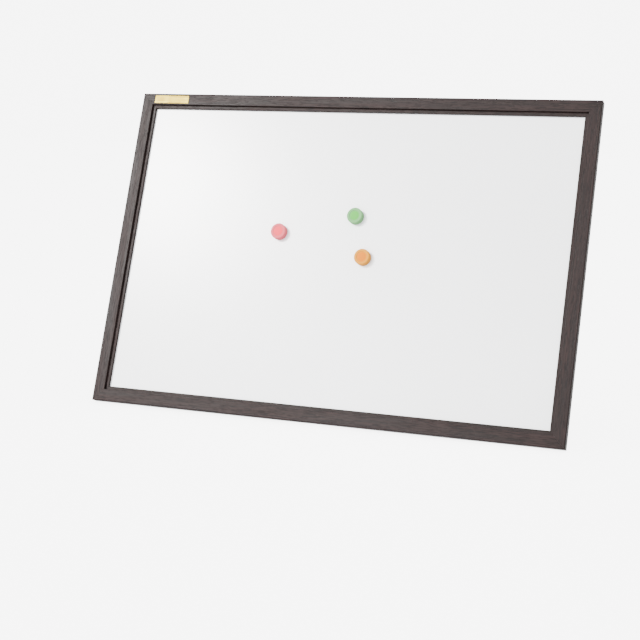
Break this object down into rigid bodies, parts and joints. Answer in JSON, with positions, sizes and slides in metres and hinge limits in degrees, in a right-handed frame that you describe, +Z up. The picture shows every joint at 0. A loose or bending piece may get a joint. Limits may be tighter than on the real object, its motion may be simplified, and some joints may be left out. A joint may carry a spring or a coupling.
{
  "type": "desk whiteboard easel",
  "caption": "Framed magnetic whiteboard that leans back on a wide folding wire leg held open by a hooked chain, with round magnets on its white steel face.",
  "frame": {"origin": "middle of the floor outline of the open easel, at floor level", "axes": "+X to the right as seen by the writer, +Y from the board's front towards the leg, +Z up"},
  "size_m": [0.472, 0.1844, 0.3056],
  "materials": {
    "rail_wood": "dark brown wood-grain foil, satin",
    "white_steel": "white gloss enamel",
    "fibreboard": "raw fibreboard",
    "back_board": "matt hardboard",
    "zinc_steel": "zinc plated",
    "antique_brass": "dull brass plating",
    "bronze_lacquer": "dark bronze lacquer, satin",
    "gold_plate": "brushed gold foil",
    "pink_plastic": "glossy",
    "green_plastic": "glossy",
    "orange_plastic": "glossy",
    "ferrite": "dark grey ferrite"
  },
  "bodies": {
    "frame": {"top_rail": "rail_wood", "bottom_rail": "rail_wood", "left_rail": "rail_wood", "right_rail": "rail_wood", "corner_nails": "zinc_steel", "steel_face": "white_steel", "core_board": "fibreboard", "back_sheet": "back_board", "panel_tabs": "zinc_steel", "label_plate": "gold_plate", "left_hinge_strap": "bronze_lacquer", "right_hinge_strap": "bronze_lacquer", "strap_screws": "antique_brass", "screw_eye": "antique_brass"},
    "leg": {"wire_leg": "antique_brass"},
    "chain": {"chain_links": "antique_brass", "snap_hook": "antique_brass", "gate_pin": "zinc_steel", "neck_ring": "antique_brass"},
    "gate": {"hook_gate": "antique_brass"},
    "pink_magnet": {"pink_magnet_cap": "pink_plastic", "pink_magnet_disc": "ferrite"},
    "green_magnet": {"green_magnet_cap": "green_plastic", "green_magnet_disc": "ferrite"},
    "orange_magnet": {"orange_magnet_cap": "orange_plastic", "orange_magnet_disc": "ferrite"}
  },
  "joints": [
    {"name": "leg_hinge", "type": "hinge", "parent": "frame", "child": "leg", "pos_m": [0, 0.00636, 0.23866], "axis": [1, 0, 0], "range_deg": [-36.5, 0]},
    {"name": "chain_swing", "type": "hinge", "parent": "frame", "child": "chain", "pos_m": [0, -0.07603, 0.00527], "axis": [1, 0, 0], "range_deg": [-109.6, 0]},
    {"name": "gate_press", "type": "hinge", "parent": "chain", "child": "gate", "pos_m": [0, 0.06803, 0.02601], "axis": [1, 0, 0], "range_deg": [0, 25], "stiffness_Nm_per_rad": 0.01, "springref_deg": -11.46},
    {"name": "pink_magnet_lift", "type": "slide", "parent": "frame", "child": "pink_magnet", "axis": [0, -0.9397, 0.342], "range_m": [0, 0.03]},
    {"name": "green_magnet_lift", "type": "slide", "parent": "frame", "child": "green_magnet", "axis": [0, -0.9397, 0.342], "range_m": [0, 0.03]},
    {"name": "orange_magnet_lift", "type": "slide", "parent": "frame", "child": "orange_magnet", "axis": [0, -0.9397, 0.342], "range_m": [0, 0.03]}
  ],
  "couplings": [
    {"joint": "chain_swing", "follows": "leg_hinge", "ratio": 3}
  ]
}
